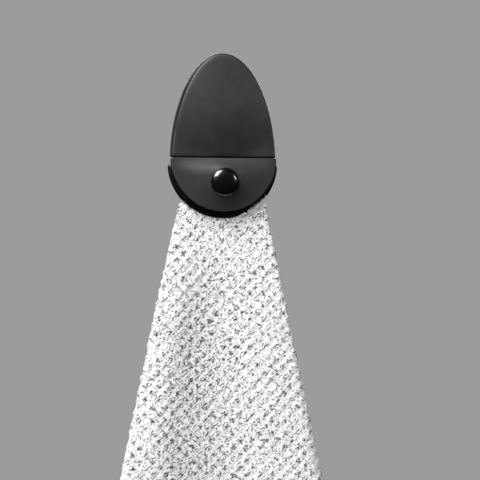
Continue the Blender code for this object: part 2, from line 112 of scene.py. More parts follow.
# %% Surround, floor and lights
SURROUND = 0.332
SURROUND_LIGHT = 0.10  # how much of it lights the object
SURROUND_GLOSS = 0.012  # and how much the gloss mirrors
world = bpy.data.worlds.new("grey_surround")
world.use_nodes = True
sky = world.node_tree
ray = sky.nodes.new("ShaderNodeLightPath")
off_camera = sky.nodes.new("ShaderNodeMapRange")
off_camera.inputs["To Min"].default_value = SURROUND_LIGHT
off_camera.inputs["To Max"].default_value = SURROUND_GLOSS
sky.links.new(ray.outputs["Is Glossy Ray"], off_camera.inputs["Value"])
brightness = sky.nodes.new("ShaderNodeMapRange")
brightness.inputs["To Max"].default_value = SURROUND
sky.links.new(ray.outputs["Is Camera Ray"], brightness.inputs["Value"])
sky.links.new(off_camera.outputs["Result"], brightness.inputs["To Min"])
sky.links.new(brightness.outputs["Result"], sky.nodes["Background"].inputs["Strength"])
sky.nodes["Background"].inputs["Color"].default_value = (1.0, 1.0, 1.0, 1.0)
bpy.context.scene.world = world


def soft_light(name, place, aim, size, power, in_gloss=True):
    """An area light at a place, turned to aim at a point. Gloss may be set not to mirror it."""
    lamp = bpy.data.lights.new(name, "AREA")
    lamp.shape = "RECTANGLE"
    lamp.size, lamp.size_y = size
    lamp.energy = power
    obj = bpy.data.objects.new(name, lamp)
    bpy.context.scene.collection.objects.link(obj)
    obj.location = place
    obj.rotation_euler = (Vector(aim) - Vector(place)).to_track_quat("-Z", "Y").to_euler()
    obj.visible_glossy = in_gloss
    return obj


TOWEL_MIDDLE = (0.0, 0.0, -0.12)
soft_light("key_light", (-0.55, -0.55, 0.80), TOWEL_MIDDLE, (0.75, 0.75), 25.0)
soft_light("side_light", (-0.95, -0.80, 0.0), TOWEL_MIDDLE, (0.5, 1.0), 5.0, in_gloss=False)
soft_light("right_light", (0.85, -0.60, 0.30), TOWEL_MIDDLE, (0.25, 0.25), 1.6)
soft_light("front_light", (0.35, -1.6, 0.1), TOWEL_MIDDLE, (0.9, 0.9), 4.0, in_gloss=False)
soft_light("back_light", (0.3, 1.1, 0.5), (0.0, 0.0, -0.25), (0.9, 0.9), 12.0)

bm = bmesh.new()
bmesh.ops.create_grid(bm, x_segments=1, y_segments=1, size=1.4)
bmesh.ops.translate(bm, verts=bm.verts, vec=(0.0, 0.3, cad_low.z - 12 * MM))
floor_mesh = bpy.data.meshes.new("floor")
bm.to_mesh(floor_mesh)
bm.free()
floor = bpy.data.objects.new("floor", floor_mesh)
bpy.context.scene.collection.objects.link(floor)
floor.visible_glossy = False


# %% [markdown]
# ## Helpers for shapes and materials
#
# Each piece starts as a bmesh, and one helper makes it a finished object at the origin. Each
# material is a Principled shader with nodes for what changes over the surface.


# %% Helpers
def finish_piece(name, bm, finish):
    """Makes the bmesh an object of that name, smooth shaded, with its material."""
    mesh = bpy.data.meshes.new(name)
    bm.to_mesh(mesh)
    bm.free()
    mesh.shade_smooth()
    mesh.materials.append(finish)
    obj = bpy.data.objects.new(name, mesh)
    bpy.context.scene.collection.objects.link(obj)
    print(name, len(mesh.polygons), "faces")
    return obj


def new_material(name, roughness, metallic=0.0):
    """A material with its node tree and its shader."""
    made = bpy.data.materials.new(name)
    made.use_nodes = True
    shader = made.node_tree.nodes["Principled BSDF"]
    shader.inputs["Roughness"].default_value = roughness
    shader.inputs["Metallic"].default_value = metallic
    return made, made.node_tree, shader


def put(tree, kind, **settings):
    """A new node. Settings are its properties, or its inputs where the name is an input's."""
    node = tree.nodes.new(kind)
    for key, value in settings.items():
        socket = key.replace("_", " ").title()
        if hasattr(node, key):
            setattr(node, key, value)
        elif socket in node.inputs:
            node.inputs[socket].default_value = value
        else:
            raise KeyError(f"{kind} has no {key}")
    return node


def calc(tree, operation, first, second=None, clamp=False):
    """A Math node fed by sockets or numbers. Returns its output."""
    node = tree.nodes.new("ShaderNodeMath")
    node.operation = operation
    node.use_clamp = clamp
    for slot, value in enumerate((first, second)):
        if value is None:
            continue
        if isinstance(value, (int, float)):
            node.inputs[slot].default_value = value
        else:
            tree.links.new(value, node.inputs[slot])
    return node.outputs[0]


def spread(tree, value, low, high, to_low=0.0, to_high=1.0):
    """Maps a value from one span to another, smoothly at both ends."""
    node = tree.nodes.new("ShaderNodeMapRange")
    node.interpolation_type = "SMOOTHSTEP"
    for key, number in (("From Min", low), ("From Max", high), ("To Min", to_low), ("To Max", to_high)):
        node.inputs[key].default_value = number
    tree.links.new(value, node.inputs["Value"])
    return node.outputs["Result"]


def mix_colour(tree, share, first, second):
    """Blends two colours, each a socket or three numbers."""
    node = tree.nodes.new("ShaderNodeMix")
    node.data_type = "RGBA"
    tree.links.new(share, node.inputs["Factor"])
    for key, value in (("A", first), ("B", second)):
        socket = next(s for s in node.inputs if s.name == key and s.type == "RGBA")
        if isinstance(value, tuple):
            socket.default_value = (*value, 1.0)
        else:
            tree.links.new(value, socket)
    return next(s for s in node.outputs if s.type == "RGBA")


def tint(tree, shader, share, first, second):
    """The surface's colour: the first where the share is 0 and the second where it is 1."""
    tree.links.new(mix_colour(tree, share, first, second), shader.inputs["Base Color"])


def roughen(tree, shader, noise, low, high):
    """Lets the roughness wander between two values with a noise."""
    tree.links.new(spread(tree, noise, 0.3, 0.7, low, high), shader.inputs["Roughness"])


def bump(tree, shader, height, distance, strength):
    """Raises the surface a little by a height."""
    node = tree.nodes.new("ShaderNodeBump")
    node.inputs["Strength"].default_value = strength
    node.inputs["Distance"].default_value = distance
    tree.links.new(height, node.inputs["Height"])
    tree.links.new(node.outputs["Normal"], shader.inputs["Normal"])


# %% [markdown]
# ## Shared surface effects
#
# Moulded rubber is never quite even: it has a fine matte grain, and it picks up a little dust and
# handling wear in broad patches. One node group makes both, and each rubber part uses it with its
# own grain size.

# %% Moulded grain
grain_group = bpy.data.node_groups.new("moulded_grain", "ShaderNodeTree")
for name, kind, value in (("Grain Size", "NodeSocketFloat", 0.0004), ("Patch Size", "NodeSocketFloat", 0.02)):
    socket = grain_group.interface.new_socket(name, in_out="INPUT", socket_type=kind)
    socket.default_value = value
for name in ("Grain", "Patches"):
    grain_group.interface.new_socket(name, in_out="OUTPUT", socket_type="NodeSocketFloat")
group_in = grain_group.nodes.new("NodeGroupInput")
group_out = grain_group.nodes.new("NodeGroupOutput")
place = put(grain_group, "ShaderNodeTexCoord").outputs["Object"]
for size, detail, output in (("Grain Size", 2.0, "Grain"), ("Patch Size", 4.0, "Patches")):
    noise = put(grain_group, "ShaderNodeTexNoise", detail=detail, roughness=0.6)
    grain_group.links.new(place, noise.inputs["Vector"])
    grain_group.links.new(calc(grain_group, "DIVIDE", 1.0, group_in.outputs[size]), noise.inputs["Scale"])
    grain_group.links.new(noise.outputs["Fac"], group_out.inputs[output])


def moulded_grain(tree, grain_size, patch_size):
    """The group in a material. Returns its grain and its patches."""
    node = tree.nodes.new("ShaderNodeGroup")
    node.node_tree = grain_group
    node.inputs["Grain Size"].default_value = grain_size
    node.inputs["Patch Size"].default_value = patch_size
    return node.outputs["Grain"], node.outputs["Patches"]


# %% [markdown]
# ### Rubbers
#
# The tab's front is a skin of dark grey silicone with a soft bloom, and its sides and back are
# coloured near black. The pod and the flap carry an attribute, "front", that is 1 on the skin and 0
# elsewhere. The crease web has none, so it is all near black. The patches are a harder black rubber
# with a slight shine on their edges.

# %% Silicone, cover and patch materials
SILICONE_GREY = (0.0130, 0.0125, 0.0150)
SILICONE_BLOOM = (0.0175, 0.0172, 0.0200)
# The tab's sides and back, and the crease web, are coloured near black.
SIDE_BLACK = (0.0025, 0.0025, 0.0028)

silicone, tree, shader = new_material("grey_silicone", 0.5)
shader.inputs["Specular IOR Level"].default_value = 0.7
grain, patches = moulded_grain(tree, 0.35 * MM, 16 * MM)
skin = put(tree, "ShaderNodeAttribute", attribute_name="front").outputs["Fac"]
grey = mix_colour(tree, spread(tree, patches, 0.35, 0.7), SILICONE_GREY, SILICONE_BLOOM)
tint(tree, shader, spread(tree, skin, 0.2, 0.8), SIDE_BLACK, grey)
roughen(tree, shader, patches, 0.46, 0.52)
bump(tree, shader, grain, 0.02 * MM, 0.5)

COVER_BLACK = (0.008, 0.008, 0.009)
COVER_DUSTY = (0.016, 0.016, 0.017)
cover, tree, shader = new_material("black_cover", 0.6)
grain, patches = moulded_grain(tree, 0.5 * MM, 12 * MM)
tint(tree, shader, patches, COVER_BLACK, COVER_DUSTY)
roughen(tree, shader, patches, 0.52, 0.66)
bump(tree, shader, grain, 0.04 * MM, 0.6)

PATCH_BLACK = (0.0010, 0.0010, 0.0012)
PATCH_DUSTY = (0.0025, 0.0025, 0.0028)
patch_rubber, tree, shader = new_material("black_patch", 0.42)
grain, patches = moulded_grain(tree, 0.3 * MM, 9 * MM)
tint(tree, shader, patches, PATCH_BLACK, PATCH_DUSTY)
roughen(tree, shader, patches, 0.34, 0.42)
bump(tree, shader, grain, 0.02 * MM, 0.4)

# %% [markdown]
# ### Metals
#
# The cap and the snap are enamelled black: a black base under a clear gloss coat, with faint
# ripples. The magnets are nickel plated, and the keeper plate and the spring are plain steel with
# fine drawing marks.

# %% Enamel and metal materials
ENAMEL_BLACK = (0.0008, 0.0008, 0.0009)
ENAMEL_WORN = (0.0016, 0.0016, 0.0018)
enamel, tree, shader = new_material("gloss_enamel", 0.34)
grain, patches = moulded_grain(tree, 2.0 * MM, 6 * MM)
tint(tree, shader, patches, ENAMEL_BLACK, ENAMEL_WORN)
roughen(tree, shader, grain, 0.31, 0.37)
shader.inputs["Specular IOR Level"].default_value = 0.3
shader.inputs["Coat Weight"].default_value = 1.0
shader.inputs["Coat IOR"].default_value = 1.65
shader.inputs["Coat Roughness"].default_value = 0.13
bump(tree, shader, grain, 0.01 * MM, 0.3)


def drawn_metal(name, dull, bright, roughness, stretch):
    """Metal with fine marks, drawn out along one direction."""
    made, tree, shader = new_material(name, roughness, 1.0)
    turn = put(tree, "ShaderNodeMapping")
    turn.inputs["Scale"].default_value = stretch
    tree.links.new(put(tree, "ShaderNodeTexCoord").outputs["Object"], turn.inputs["Vector"])
    marks = put(tree, "ShaderNodeTexNoise", scale=900.0, detail=3.0)
    tree.links.new(turn.outputs["Vector"], marks.inputs["Vector"])
    tint(tree, shader, spread(tree, marks.outputs["Fac"], 0.3, 0.7), dull, bright)
    roughen(tree, shader, marks.outputs["Fac"], roughness - 0.06, roughness + 0.06)
    bump(tree, shader, marks.outputs["Fac"], 0.01 * MM, 0.4)
    return made


nickel = drawn_metal("nickel_plate", (0.62, 0.60, 0.56), (0.74, 0.72, 0.68), 0.20, (1.0, 1.0, 1.0))
keeper_steel = drawn_metal("keeper_steel", (0.42, 0.43, 0.44), (0.58, 0.59, 0.60), 0.34, (0.1, 1.0, 1.0))
spring_steel = drawn_metal("spring_steel", (0.50, 0.48, 0.45), (0.66, 0.64, 0.60), 0.24, (1.0, 1.0, 1.0))

# %% Materials on the CAD pieces that stay
node_finishes = {
    "pod_back_cover": cover,
    "magnet_upper": nickel,
    "magnet_left": nickel,
    "magnet_right": nickel,
    "keeper_plate": keeper_steel,
    "snap_socket": enamel,
    "socket_spring": spring_steel,
    "snap_stud": enamel,
    "stud_rivet": enamel,
}
for node_name, finish in node_finishes.items():
    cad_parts[node_name].data.materials.clear()
    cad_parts[node_name].data.materials.append(finish)
print("kept CAD pieces:", ", ".join(node_finishes))

# %% [markdown]
# ## The pod
#
# The pod is the upper part of the tab: an egg shape with a flat bottom edge at the crease. Its front
# is broad and gently crowned, and its edge is rounded. It starts as a filled circle that is drawn
# out to the egg's outline, is extruded back for its side, and is inset ring by ring, so that every
# ring can be lifted to the crown.

# %% Sizes of the tab
pod_low, pod_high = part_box("pod_front_skin")
flap_low, flap_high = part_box("flap_skin")
TAB_HALF = pod_high.x
POD_BASE = pod_low.z
POD_TALL = pod_high.z - pod_low.z
POD_BACK = pod_high.y
POD_CROWN = pod_low.y
POD_TAPER = 1.11  # above 1 the egg's sides lean in more toward its top
POD_SIDE = -4.8 * MM  # where the side turns into the rounded edge
SKIN_EDGE = -2.4 * MM  # and where the grey skin starts on the side
CROWN_MIDDLE = -5 * MM  # height of the highest point of the crowned front
CREASE = (pod_low.z + flap_high.z) / 2
print("pod", round(2 * TAB_HALF / MM, 1), "x", round(POD_TALL / MM, 1), "mm")


# %% Shells built on spokes
def outline_between(corners_and_arcs):
    """Joins runs of points (x, z) into one outline without doubled points."""
    points = []
    for run in corners_and_arcs:
        for point in run:
            if not points or math.dist(point, points[-1]) > 0.01 * MM:
                points.append(point)
    if math.dist(points[0], points[-1]) < 0.01 * MM:
        points.pop()
    return points


def straight(start, end, count):
    """Evenly spaced points from start to end, both included."""
    run, rise = end[0] - start[0], end[1] - start[1]
    return [(start[0] + run * i / count, start[1] + rise * i / count) for i in range(count + 1)]


def inner_shares(count):
    """Shares for the rings inside an edge, from the outermost in to the middle."""
    return [1 - i / count for i in range(1, count)]


STRAIGHT_STEPS = 56  # points along the tab's straight edges
SHARP_ANGLE = math.radians(60)  # edges sharper than this stay crisp


def spoke_shell(name, outline, middle_z, rings, finish, skin_from=0, softness=lambda x, z: 1.0):
    """A closed shell. Each ring is the outline moved in along spokes to the middle: by a distance,
    by a share, and to a depth that a function of the ring's points gives. The front skin starts at
    the ring of that number. Softness says how much of the distance each outline point takes."""
    bm = bmesh.new()
    skin_layer = bm.verts.layers.float.new("front")
    count = len(outline)
    bmesh.ops.create_circle(bm, cap_ends=True, radius=1.0, segments=count)
    loop = list(next(iter(bm.faces)).verts)
    bm.faces.ensure_lookup_table()
    edges = list(bm.faces[0].edges)
    for number, (inset, share, depth) in enumerate(rings):
        if number:
            grown = bmesh.ops.extrude_edge_only(bm, edges=edges)["geom"]
            fresh = {v for v in grown if isinstance(v, bmesh.types.BMVert)}
            loop = [next(e.other_vert(v) for e in v.link_edges if e.other_vert(v) in fresh) for v in loop]
            edges = [e for e in grown if isinstance(e, bmesh.types.BMEdge) and fresh.issuperset(e.verts)]
        for vert, (x, z) in zip(loop, outline):
            spoke = Vector((x, z - middle_z))
            spoke *= share * (1 - inset * softness(x, z) / spoke.length)
            vert.co = (spoke.x, depth(spoke.x, spoke.y + middle_z), middle_z + spoke.y)
            vert[skin_layer] = float(number >= skin_from)
    bmesh.ops.contextual_create(bm, geom=edges)
    bmesh.ops.recalc_face_normals(bm, faces=bm.faces)
    obj = finish_piece(name, bm, finish)
    obj.data.set_sharp_from_angle(angle=SHARP_ANGLE)
    return obj


def rounded(inset, height, steps):
    """Insets and depths round a quarter turn, from the side to the face."""
    turns = [math.pi / 2 * (i + 1) / steps for i in range(steps)]
    return [(inset * (1 - math.cos(a)), height * math.sin(a)) for a in turns]


# %% Pod front
def egg_outline(steps=150):
    """The pod's outline: an egg's upper part on a straight foot."""
    arc = []
    for i in range(steps + 1):
        a = math.pi * i / steps
        arc.append((TAB_HALF * math.cos(a), POD_BASE + POD_TALL * math.sin(a) ** POD_TAPER))
    return outline_between([arc, straight(arc[-1], arc[0], STRAIGHT_STEPS)])


POD_ROUND = 1.5 * MM  # how far in the pod's edge is rounded
POD_ROLL = 2.5 * MM  # and how far forward
FOOT_SOFT = 0.35  # the edge at the crease is crisper, by this share
FOOT_REACH = 7 * MM  # and up to this far above it


def pod_face(x, z):
    """The y of the pod's front inside its rounded edge."""
    up = POD_BASE + POD_TALL - CROWN_MIDDLE
    down = CROWN_MIDDLE - POD_BASE
    tall = up if z > CROWN_MIDDLE else down
    reach = min(1.0, math.hypot(x / TAB_HALF, (z - CROWN_MIDDLE) / tall))
    flat_rim = POD_SIDE - POD_ROLL
    return flat_rim + (POD_CROWN - flat_rim) * math.cos(math.pi / 2 * reach) ** 0.9


def at_depth(y):
    """A flat ring at y."""
    return lambda x, z: y


def rolled_on(face, y, share):
    """Between a flat side at y and the face, as the edge rolls over."""
    return lambda x, z: y + (face(x, z) - y) * share


def pod_softness(x, z):
    """1 round the egg, and less along its foot."""
    up = min(1.0, max(0.0, (z - POD_BASE) / FOOT_REACH))
    return FOOT_SOFT + (1 - FOOT_SOFT) * up * up * (3 - 2 * up)


pod_rings = [(0.0, 1.0, at_depth(POD_BACK)), (0.0, 1.0, at_depth(POD_BACK - 0.3 * MM))]
pod_rings += [(0.0, 1.0, at_depth(y)) for y in (SKIN_EDGE, SKIN_EDGE - 0.2 * MM, POD_SIDE)]
for inset, rise in rounded(POD_ROUND, 1.0, 9):
    pod_rings.append((inset, 1.0, rolled_on(pod_face, POD_SIDE, rise)))
pod_rings += [(POD_ROUND, share, pod_face) for share in inner_shares(16)]
tab_pod = spoke_shell(
    "tab_pod",
    egg_outline(),
    CROWN_MIDDLE,
    pod_rings,
    silicone,
    skin_from=3,
    softness=pod_softness,
)
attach(tab_pod, "magnet_pod")
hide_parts("pod_front_skin")

# %% [markdown]
# ## The flap
#
# Below the crease the silicone is only about 2 mm thick. It is clamped by the snap, which pushes it
# forward, so the flap is a low dome that leans out from the crease, and its foot stands off the
# patch behind. It is made like the pod, from a half disc, with rings on its back and its front.

# %% Flap
FLAP_TOP = flap_high.z
FLAP_RIM_BACK = flap_high.y
FLAP_THICK = 1.8 * MM
FLAP_RADIUS = TAB_HALF + 0.5 * MM  # the flap stands out a little past the pod
FLAP_ROUND = 0.4 * MM  # how much its edge is rounded
FLAP_CORNER = 1.2 * MM  # and its two corners
FLAP_SEAT = flap_low.y
FLAP_DOME = FLAP_RIM_BACK - FLAP_THICK - FLAP_SEAT
cap_low, cap_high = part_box("snap_cap")
SNAP = Vector((0.0, 0.0, (cap_low.z + cap_high.z) / 2))
CAP_RADIUS = (cap_high.z - cap_low.z) / 2
FOOT_RISE = 0.5  # share of the dome's height that the flap's foot has
SEAT_RADIUS = 6.6 * MM  # the flap is level where the snap clamps it


def half_disc_outline(radius, top, corner):
    """A half disc that hangs from its straight top edge, with rounded top corners."""
    across = math.sqrt((radius - corner) ** 2 - corner**2)
    turn = math.atan2(corner, across)
    right = []
    for i in range(9):
        a = math.pi / 2 - (math.pi / 2 + turn) * i / 8
        right.append((across + corner * math.cos(a), top - corner + corner * math.sin(a)))
    arc = []
    for i in range(121):
        a = -turn - (math.pi - 2 * turn) * i / 120
        arc.append((radius * math.cos(a), top + radius * math.sin(a)))
    left = [(-x, z) for x, z in reversed(right)]
    return outline_between([right, arc, left, straight(left[-1], right[0], STRAIGHT_STEPS)])


def flap_rise(x, z):
    """The dome's height at a point: 0 at the flap's rim, 1 at the snap's seat."""
    away = Vector((x, z - SNAP.z))
    reach = away.length
    if reach < SEAT_RADIUS:
        return 1.0
    direction = away / reach
    drop = FLAP_TOP - SNAP.z
    b = direction.y * drop
    edge = b + math.sqrt(max(0.0, b * b + FLAP_RADIUS**2 - drop**2))
    if direction.y > 0:
        edge = (edge**-5 + (drop / direction.y) ** -5) ** -0.2  # a smooth lesser of the two
    share = min(1.0, max(0.0, (edge - reach) / (edge - SEAT_RADIUS)))
    dome = 0.5 * share + 0.25 * (1 - math.cos(math.pi * share))
    lean = FOOT_RISE * (FLAP_TOP - z) / FLAP_RADIUS
    return lean + (1 - lean) * dome


def lifted(y, amount):
    """A ring near y that follows the flap's dome forward."""
    return lambda x, z: y - amount * flap_rise(x, z)


def plate_rings(back, front, edge, shares, lift):
    """Rings of a plate with rounded edges, from the middle of its back round to the front."""
    rings = [(edge, share, lifted(back, lift)) for share in reversed(shares)]
    for inset, rise in reversed(rounded(edge, edge, 4)):
        rings.append((inset, 1.0, lifted(back - edge + rise, lift)))
    for inset, rise in [(0.0, 0.0), *rounded(edge, edge, 4)]:
        rings.append((inset, 1.0, lifted(front + edge - rise, lift)))
    rings += [(edge, share, lifted(front, lift)) for share in shares]
    return rings


flap_shares = inner_shares(17)
flap_rings = plate_rings(FLAP_RIM_BACK, FLAP_RIM_BACK - FLAP_THICK, FLAP_ROUND, flap_shares, FLAP_DOME)
flap_outline = half_disc_outline(FLAP_RADIUS, FLAP_TOP, FLAP_CORNER)
front_rim = len(flap_shares) + 5  # the first ring of the front's rounded edge
tab_flap = spoke_shell("tab_flap", flap_outline, SNAP.z, flap_rings, silicone, skin_from=front_rim)
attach(tab_flap, "snap_flap")
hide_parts("flap_skin")

# %% [markdown]
# ### The living hinge
#
# On the real tab the pod and the flap are one moulding, and the crease between them is a thin web
# that bends. The web here is a short strip let into both, so that the flap stays joined when it
# bends forward.

# %% Crease web
WEB_TALL = 1.6 * MM
WEB_THICK = 0.7 * MM
WEB_DEEP = 0.45 * MM  # how far the web lies in front of the flap's back
bm = bmesh.new()
bmesh.ops.create_grid(bm, x_segments=60, y_segments=10, size=0.5)
half_web = TAB_HALF - 0.5 * MM
bmesh.ops.scale(bm, verts=bm.verts, vec=(2 * half_web, WEB_TALL, 1.0))
bmesh.ops.rotate(bm, verts=bm.verts, cent=(0, 0, 0), matrix=Matrix.Rotation(math.radians(90), 3, "X"))
bmesh.ops.translate(bm, verts=bm.verts, vec=(0.0, FLAP_RIM_BACK - WEB_DEEP, CREASE))
bmesh.ops.solidify(bm, geom=list(bm.faces), thickness=WEB_THICK)
bmesh.ops.recalc_face_normals(bm, faces=bm.faces)
crease_web = finish_piece("crease_web", bm, silicone)
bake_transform(crease_web)

# %% [markdown]
# ## The snap cap
#
# A cap is pressed from sheet metal: a low dome whose rim is rolled under. Half of its section is
# drawn as a chain of points and spun once round the snap's axis.

# %% Snap cap
# The section from the middle to the rim and back: shares of the cap's radius and of its height.
cap_face = [
    (0.0, 1.0),
    (0.18, 0.990),
    (0.35, 0.955),
    (0.50, 0.895),
    (0.64, 0.805),
    (0.76, 0.685),
    (0.86, 0.535),
    (0.93, 0.370),
    (0.975, 0.210),
    (0.998, 0.090),
    (1.0, 0.045),
    (0.985, 0.012),
    (0.95, 0.0),
    (0.80, 0.0),
    (0.0, 0.0),
]
CAP_SEAT = FLAP_SEAT - 0.3 * MM
cap_tall = CAP_SEAT - cap_low.y
bm = bmesh.new()
section = [bm.verts.new((CAP_RADIUS * r, CAP_SEAT - cap_tall * h, SNAP.z)) for r, h in cap_face]
chain = [bm.edges.new(pair) for pair in zip(section, section[1:])]
bmesh.ops.spin(
    bm,
    geom=section + chain,
    cent=SNAP,
    axis=(0, 1, 0),
    angle=2 * math.pi,
    steps=96,
    use_merge=True,
)
bmesh.ops.remove_doubles(bm, verts=bm.verts, dist=0.005 * MM)
bmesh.ops.recalc_face_normals(bm, faces=bm.faces)
cap_dome = finish_piece("cap_dome", bm, enamel)
cap_dome.data.set_sharp_from_angle(angle=SHARP_ANGLE)
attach(cap_dome, "snap_flap")
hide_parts("snap_cap")

# %% [markdown]
# ## The patches
#
# Two half-round patches of black rubber hold the towel's corner between them. Their faces fall away
# toward the rim in a broad bevel, which is what catches the light on the left. The rivet goes
# through their middles, where the snap hides it, so they need no hole here.

# %% Patches
patch_low, patch_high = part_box("front_patch")
PATCH_RADIUS = patch_high.x
PATCH_TOP = patch_high.z
PATCH_TRIM = 0.3 * MM  # the cut rim lies a little inside the nominal radius
PATCH_CORNER = 2.6 * MM
PATCH_EDGE = 0.2 * MM  # the small round on the side that meets the cloth
patch_outline = half_disc_outline(PATCH_RADIUS - PATCH_TRIM, PATCH_TOP, PATCH_CORNER)
# The bevel in millimetres: how far in from the rim, and how far below the face.
PATCH_BEVEL = [(0.0, 0.78), (0.08, 0.71), (0.35, 0.56), (0.8, 0.30), (1.2, 0.08), (1.5, 0.01), (2.0, 0.0)]
patch_shares = inner_shares(6)
for name, node, outer in (("patch_front", "front_patch", -1), ("patch_back", "back_patch", 1)):
    node_low, node_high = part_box(node)
    face, under = (node_low.y, node_high.y) if outer < 0 else (node_high.y, node_low.y)
    rings = [(PATCH_EDGE, share, at_depth(under)) for share in reversed(patch_shares)]
    rings += [(PATCH_EDGE, 1.0, at_depth(under)), (0.0, 1.0, at_depth(under + outer * PATCH_EDGE))]
    rings += [(inset * MM, 1.0, at_depth(face - outer * fall * MM)) for inset, fall in PATCH_BEVEL]
    rings += [(PATCH_BEVEL[-1][0] * MM, share, at_depth(face)) for share in patch_shares]
    patch = spoke_shell(name, patch_outline, SNAP.z, rings, patch_rubber)
    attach(patch, "towel_head")
    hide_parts(node)

# %% [markdown]
# ## How the towel folds
#
# The towel is one flat square, 400 mm each way, that hangs by a corner. Cloth does not stretch much,
# so a hung towel falls into folds that are parts of cones: straight lines run down from the point
# where the clamp lets the cloth go, and the cloth turns back along them. Here a point of the flat
# square is measured from that point by its distance and its angle. The distance is kept, and the
# angle is followed along a curve on a sphere that runs flat across the front, turns sharply back at
# the fold, runs in behind, and turns out again. That keeps every length true, so the weave is not
# stretched, and it needs no simulation. Two gentle changes come after it: the whole bundle leans
# and ripples a little, and its foot draws in by a tenth.

# %% The flat square
TOWEL_SIDE = 400 * MM
CELLS = 79  # waffle cells along a side
CELL = TOWEL_SIDE / CELLS
APEX = -28.5 * MM  # height of the clamped corner
LET_GO = 23.8 * MM  # how far out and down from the corner the clamp lets the cloth fold
cloth_y = (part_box("towel_corner")[0].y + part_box("towel_corner")[1].y) / 2
PATCH_FOOT = patch_low.z
print("cell", round(CELL / MM, 2), "mm")


def ease(t):
    """0 below 0, 1 above 1 and smooth between."""
    t = np.clip(t, 0.0, 1.0)
    return t * t * (3.0 - 2.0 * t)


# %% The curve that a wing of the towel follows
CURVE_LENGTH = 0.75  # how far the curve goes, as an angle
CURVE_STEP = 0.0002  # angle from one row to the next
RIPPLES_AFTER = 0.12  # the ripples start this far past the fold


def wing_curve(side, start, turns, ripple):
    """Directions along the curve, as an array with one row for each step of angle. Each turn is
    where it starts, its radius as an angle, and its way: 1 turns back, -1 turns out again. The
    ripple is how strongly the curve bends to and fro, and over what angle."""
    g = np.array([side * math.sin(start), 0.0, -math.cos(start)])
    t = np.array([side * math.cos(start), 0.0, math.sin(start)])
    n = np.array([0.0, 1.0, 0.0])
    rows = [g.copy()]
    step = CURVE_STEP
    for i in range(int(CURVE_LENGTH / step)):
        s = i * step
        rippled = s > turns[0][0] + RIPPLES_AFTER
        bend = ripple[0] * math.sin(2 * math.pi * s / ripple[1]) if rippled else 0.0
        for at, radius, way in turns:
            if at <= s < at + math.pi * math.sin(radius):
                bend = way / math.tan(radius)
        half_t = t + 0.5 * step * (-g + bend * n)
        half_n = n - 0.5 * step * bend * t
        g = g + step * half_t
        t = t + step * (-(g - 0.5 * step * half_t) + bend * half_n)
        g = g / np.linalg.norm(g)
        t = t - g * (g @ t)
        t = t / np.linalg.norm(t)
        n = -side * np.cross(g, t)
        rows.append(g.copy())
    return np.array(rows)


RIGHT_SLOPE = math.radians(11.2)  # how far from plumb the towel's side edges run
LEFT_SLOPE = math.radians(12.5)
RIGHT_FOLD = 0.034  # how round the fold at each side is, as an angle
LEFT_FOLD = 0.020
WINGS = {
    1: (RIGHT_SLOPE - RIGHT_FOLD, [(0.0, RIGHT_FOLD, 1), (0.40, 0.016, -1)], (5.0, 0.21)),
    -1: (LEFT_SLOPE - LEFT_FOLD, [(0.0, LEFT_FOLD, 1), (0.32, 0.011, -1)], (4.0, 0.17)),
}
wing_tables = {side: wing_curve(side, *spec) for side, spec in WINGS.items()}


# %% The folded shape
LEAN = 19 * MM  # how far forward the towel hangs from halfway down
VALLEY_DEEP = 3.5 * MM  # how far the fold between the front ridges sinks in
CREST_HIGH = 3.5 * MM  # how far the middle of the front stands out
LOW_RIPPLE = 4.5 * MM  # how far the ripples near the foot go to and fro


def valley_share(x, drop):
    """1 along the deepest line of the fold between the two front ridges, 0 away from it."""
    drop = np.clip(drop, 0.0, None)
    middle = -9 * MM - 6 * MM * ease((drop - 15 * MM) / (45 * MM)) - 0.09 * np.clip(drop - 50 * MM, 0, None)
    wide = (8 * MM + 0.07 * drop) * np.where(x < middle, 0.85, 1.5)
    return ease(drop / (75 * MM)) * np.exp(-(((x - middle) / wide) ** 2))


def sway(x, drop):
    """How far the whole bundle swings and ripples forward or back (+) at a point."""
    half = 24 * MM + 0.2 * drop
    lean = -LEAN * ease(drop / (230 * MM))
    valley = VALLEY_DEEP * valley_share(x, drop)
    crest = -CREST_HIGH * ease(drop / (110 * MM)) * (1 - np.clip(np.abs(x) / half, 0, 1) ** 2)
    low = LOW_RIPPLE * ease((drop - 120 * MM) / (200 * MM)) * np.sin(2.3 * math.pi * x / half + 0.9)
    return lean + valley + crest + low


def fold(u, v):
    """The place on the hung towel of a point of the flat square, u and v from the corner."""
    x = (v - u) / math.sqrt(2)
    down = (u + v) / math.sqrt(2)
    out = np.stack([x, np.zeros_like(x), -down], axis=-1)
    for side, (start, _, _) in WINGS.items():
        table = wing_tables[side]
        qx = side * x - LET_GO
        qd = down - LET_GO
        reach = np.hypot(qx, qd)
        angle = np.arctan2(qx, qd) - start
        on_wing = (angle > 0) & (side * x > 0)
        at = np.clip(angle / CURVE_STEP, 0, len(table) - 1.001)
        low = at.astype(int)
        part = (at - low)[..., None]
        way = table[low] * (1 - part) + table[low + 1] * part
        origin = np.array([side * LET_GO, 0.0, -LET_GO])
        out = np.where(on_wing[..., None], origin + reach[..., None] * way, out)
    drop = np.clip(PATCH_FOOT - APEX - out[..., 2], 0.0, None)
    narrow = 1 - 0.10 * ease((drop - 190 * MM) / (230 * MM))
    out[..., 1] += sway(out[..., 0], drop) + cloth_y
    out[..., 0] *= narrow
    out[..., 2] += APEX
    return out


def fold_facing(u, v, near=0.4 * MM):
    """The folded place and the direction that the cloth's front faces there."""
    along_u = fold(u + near, v) - fold(u - near, v)
    along_v = fold(u, v + near) - fold(u, v - near)
    facing = np.cross(along_u, along_v)
    facing /= np.maximum(np.linalg.norm(facing, axis=-1, keepdims=True), 1e-12)
    return fold(u, v), facing


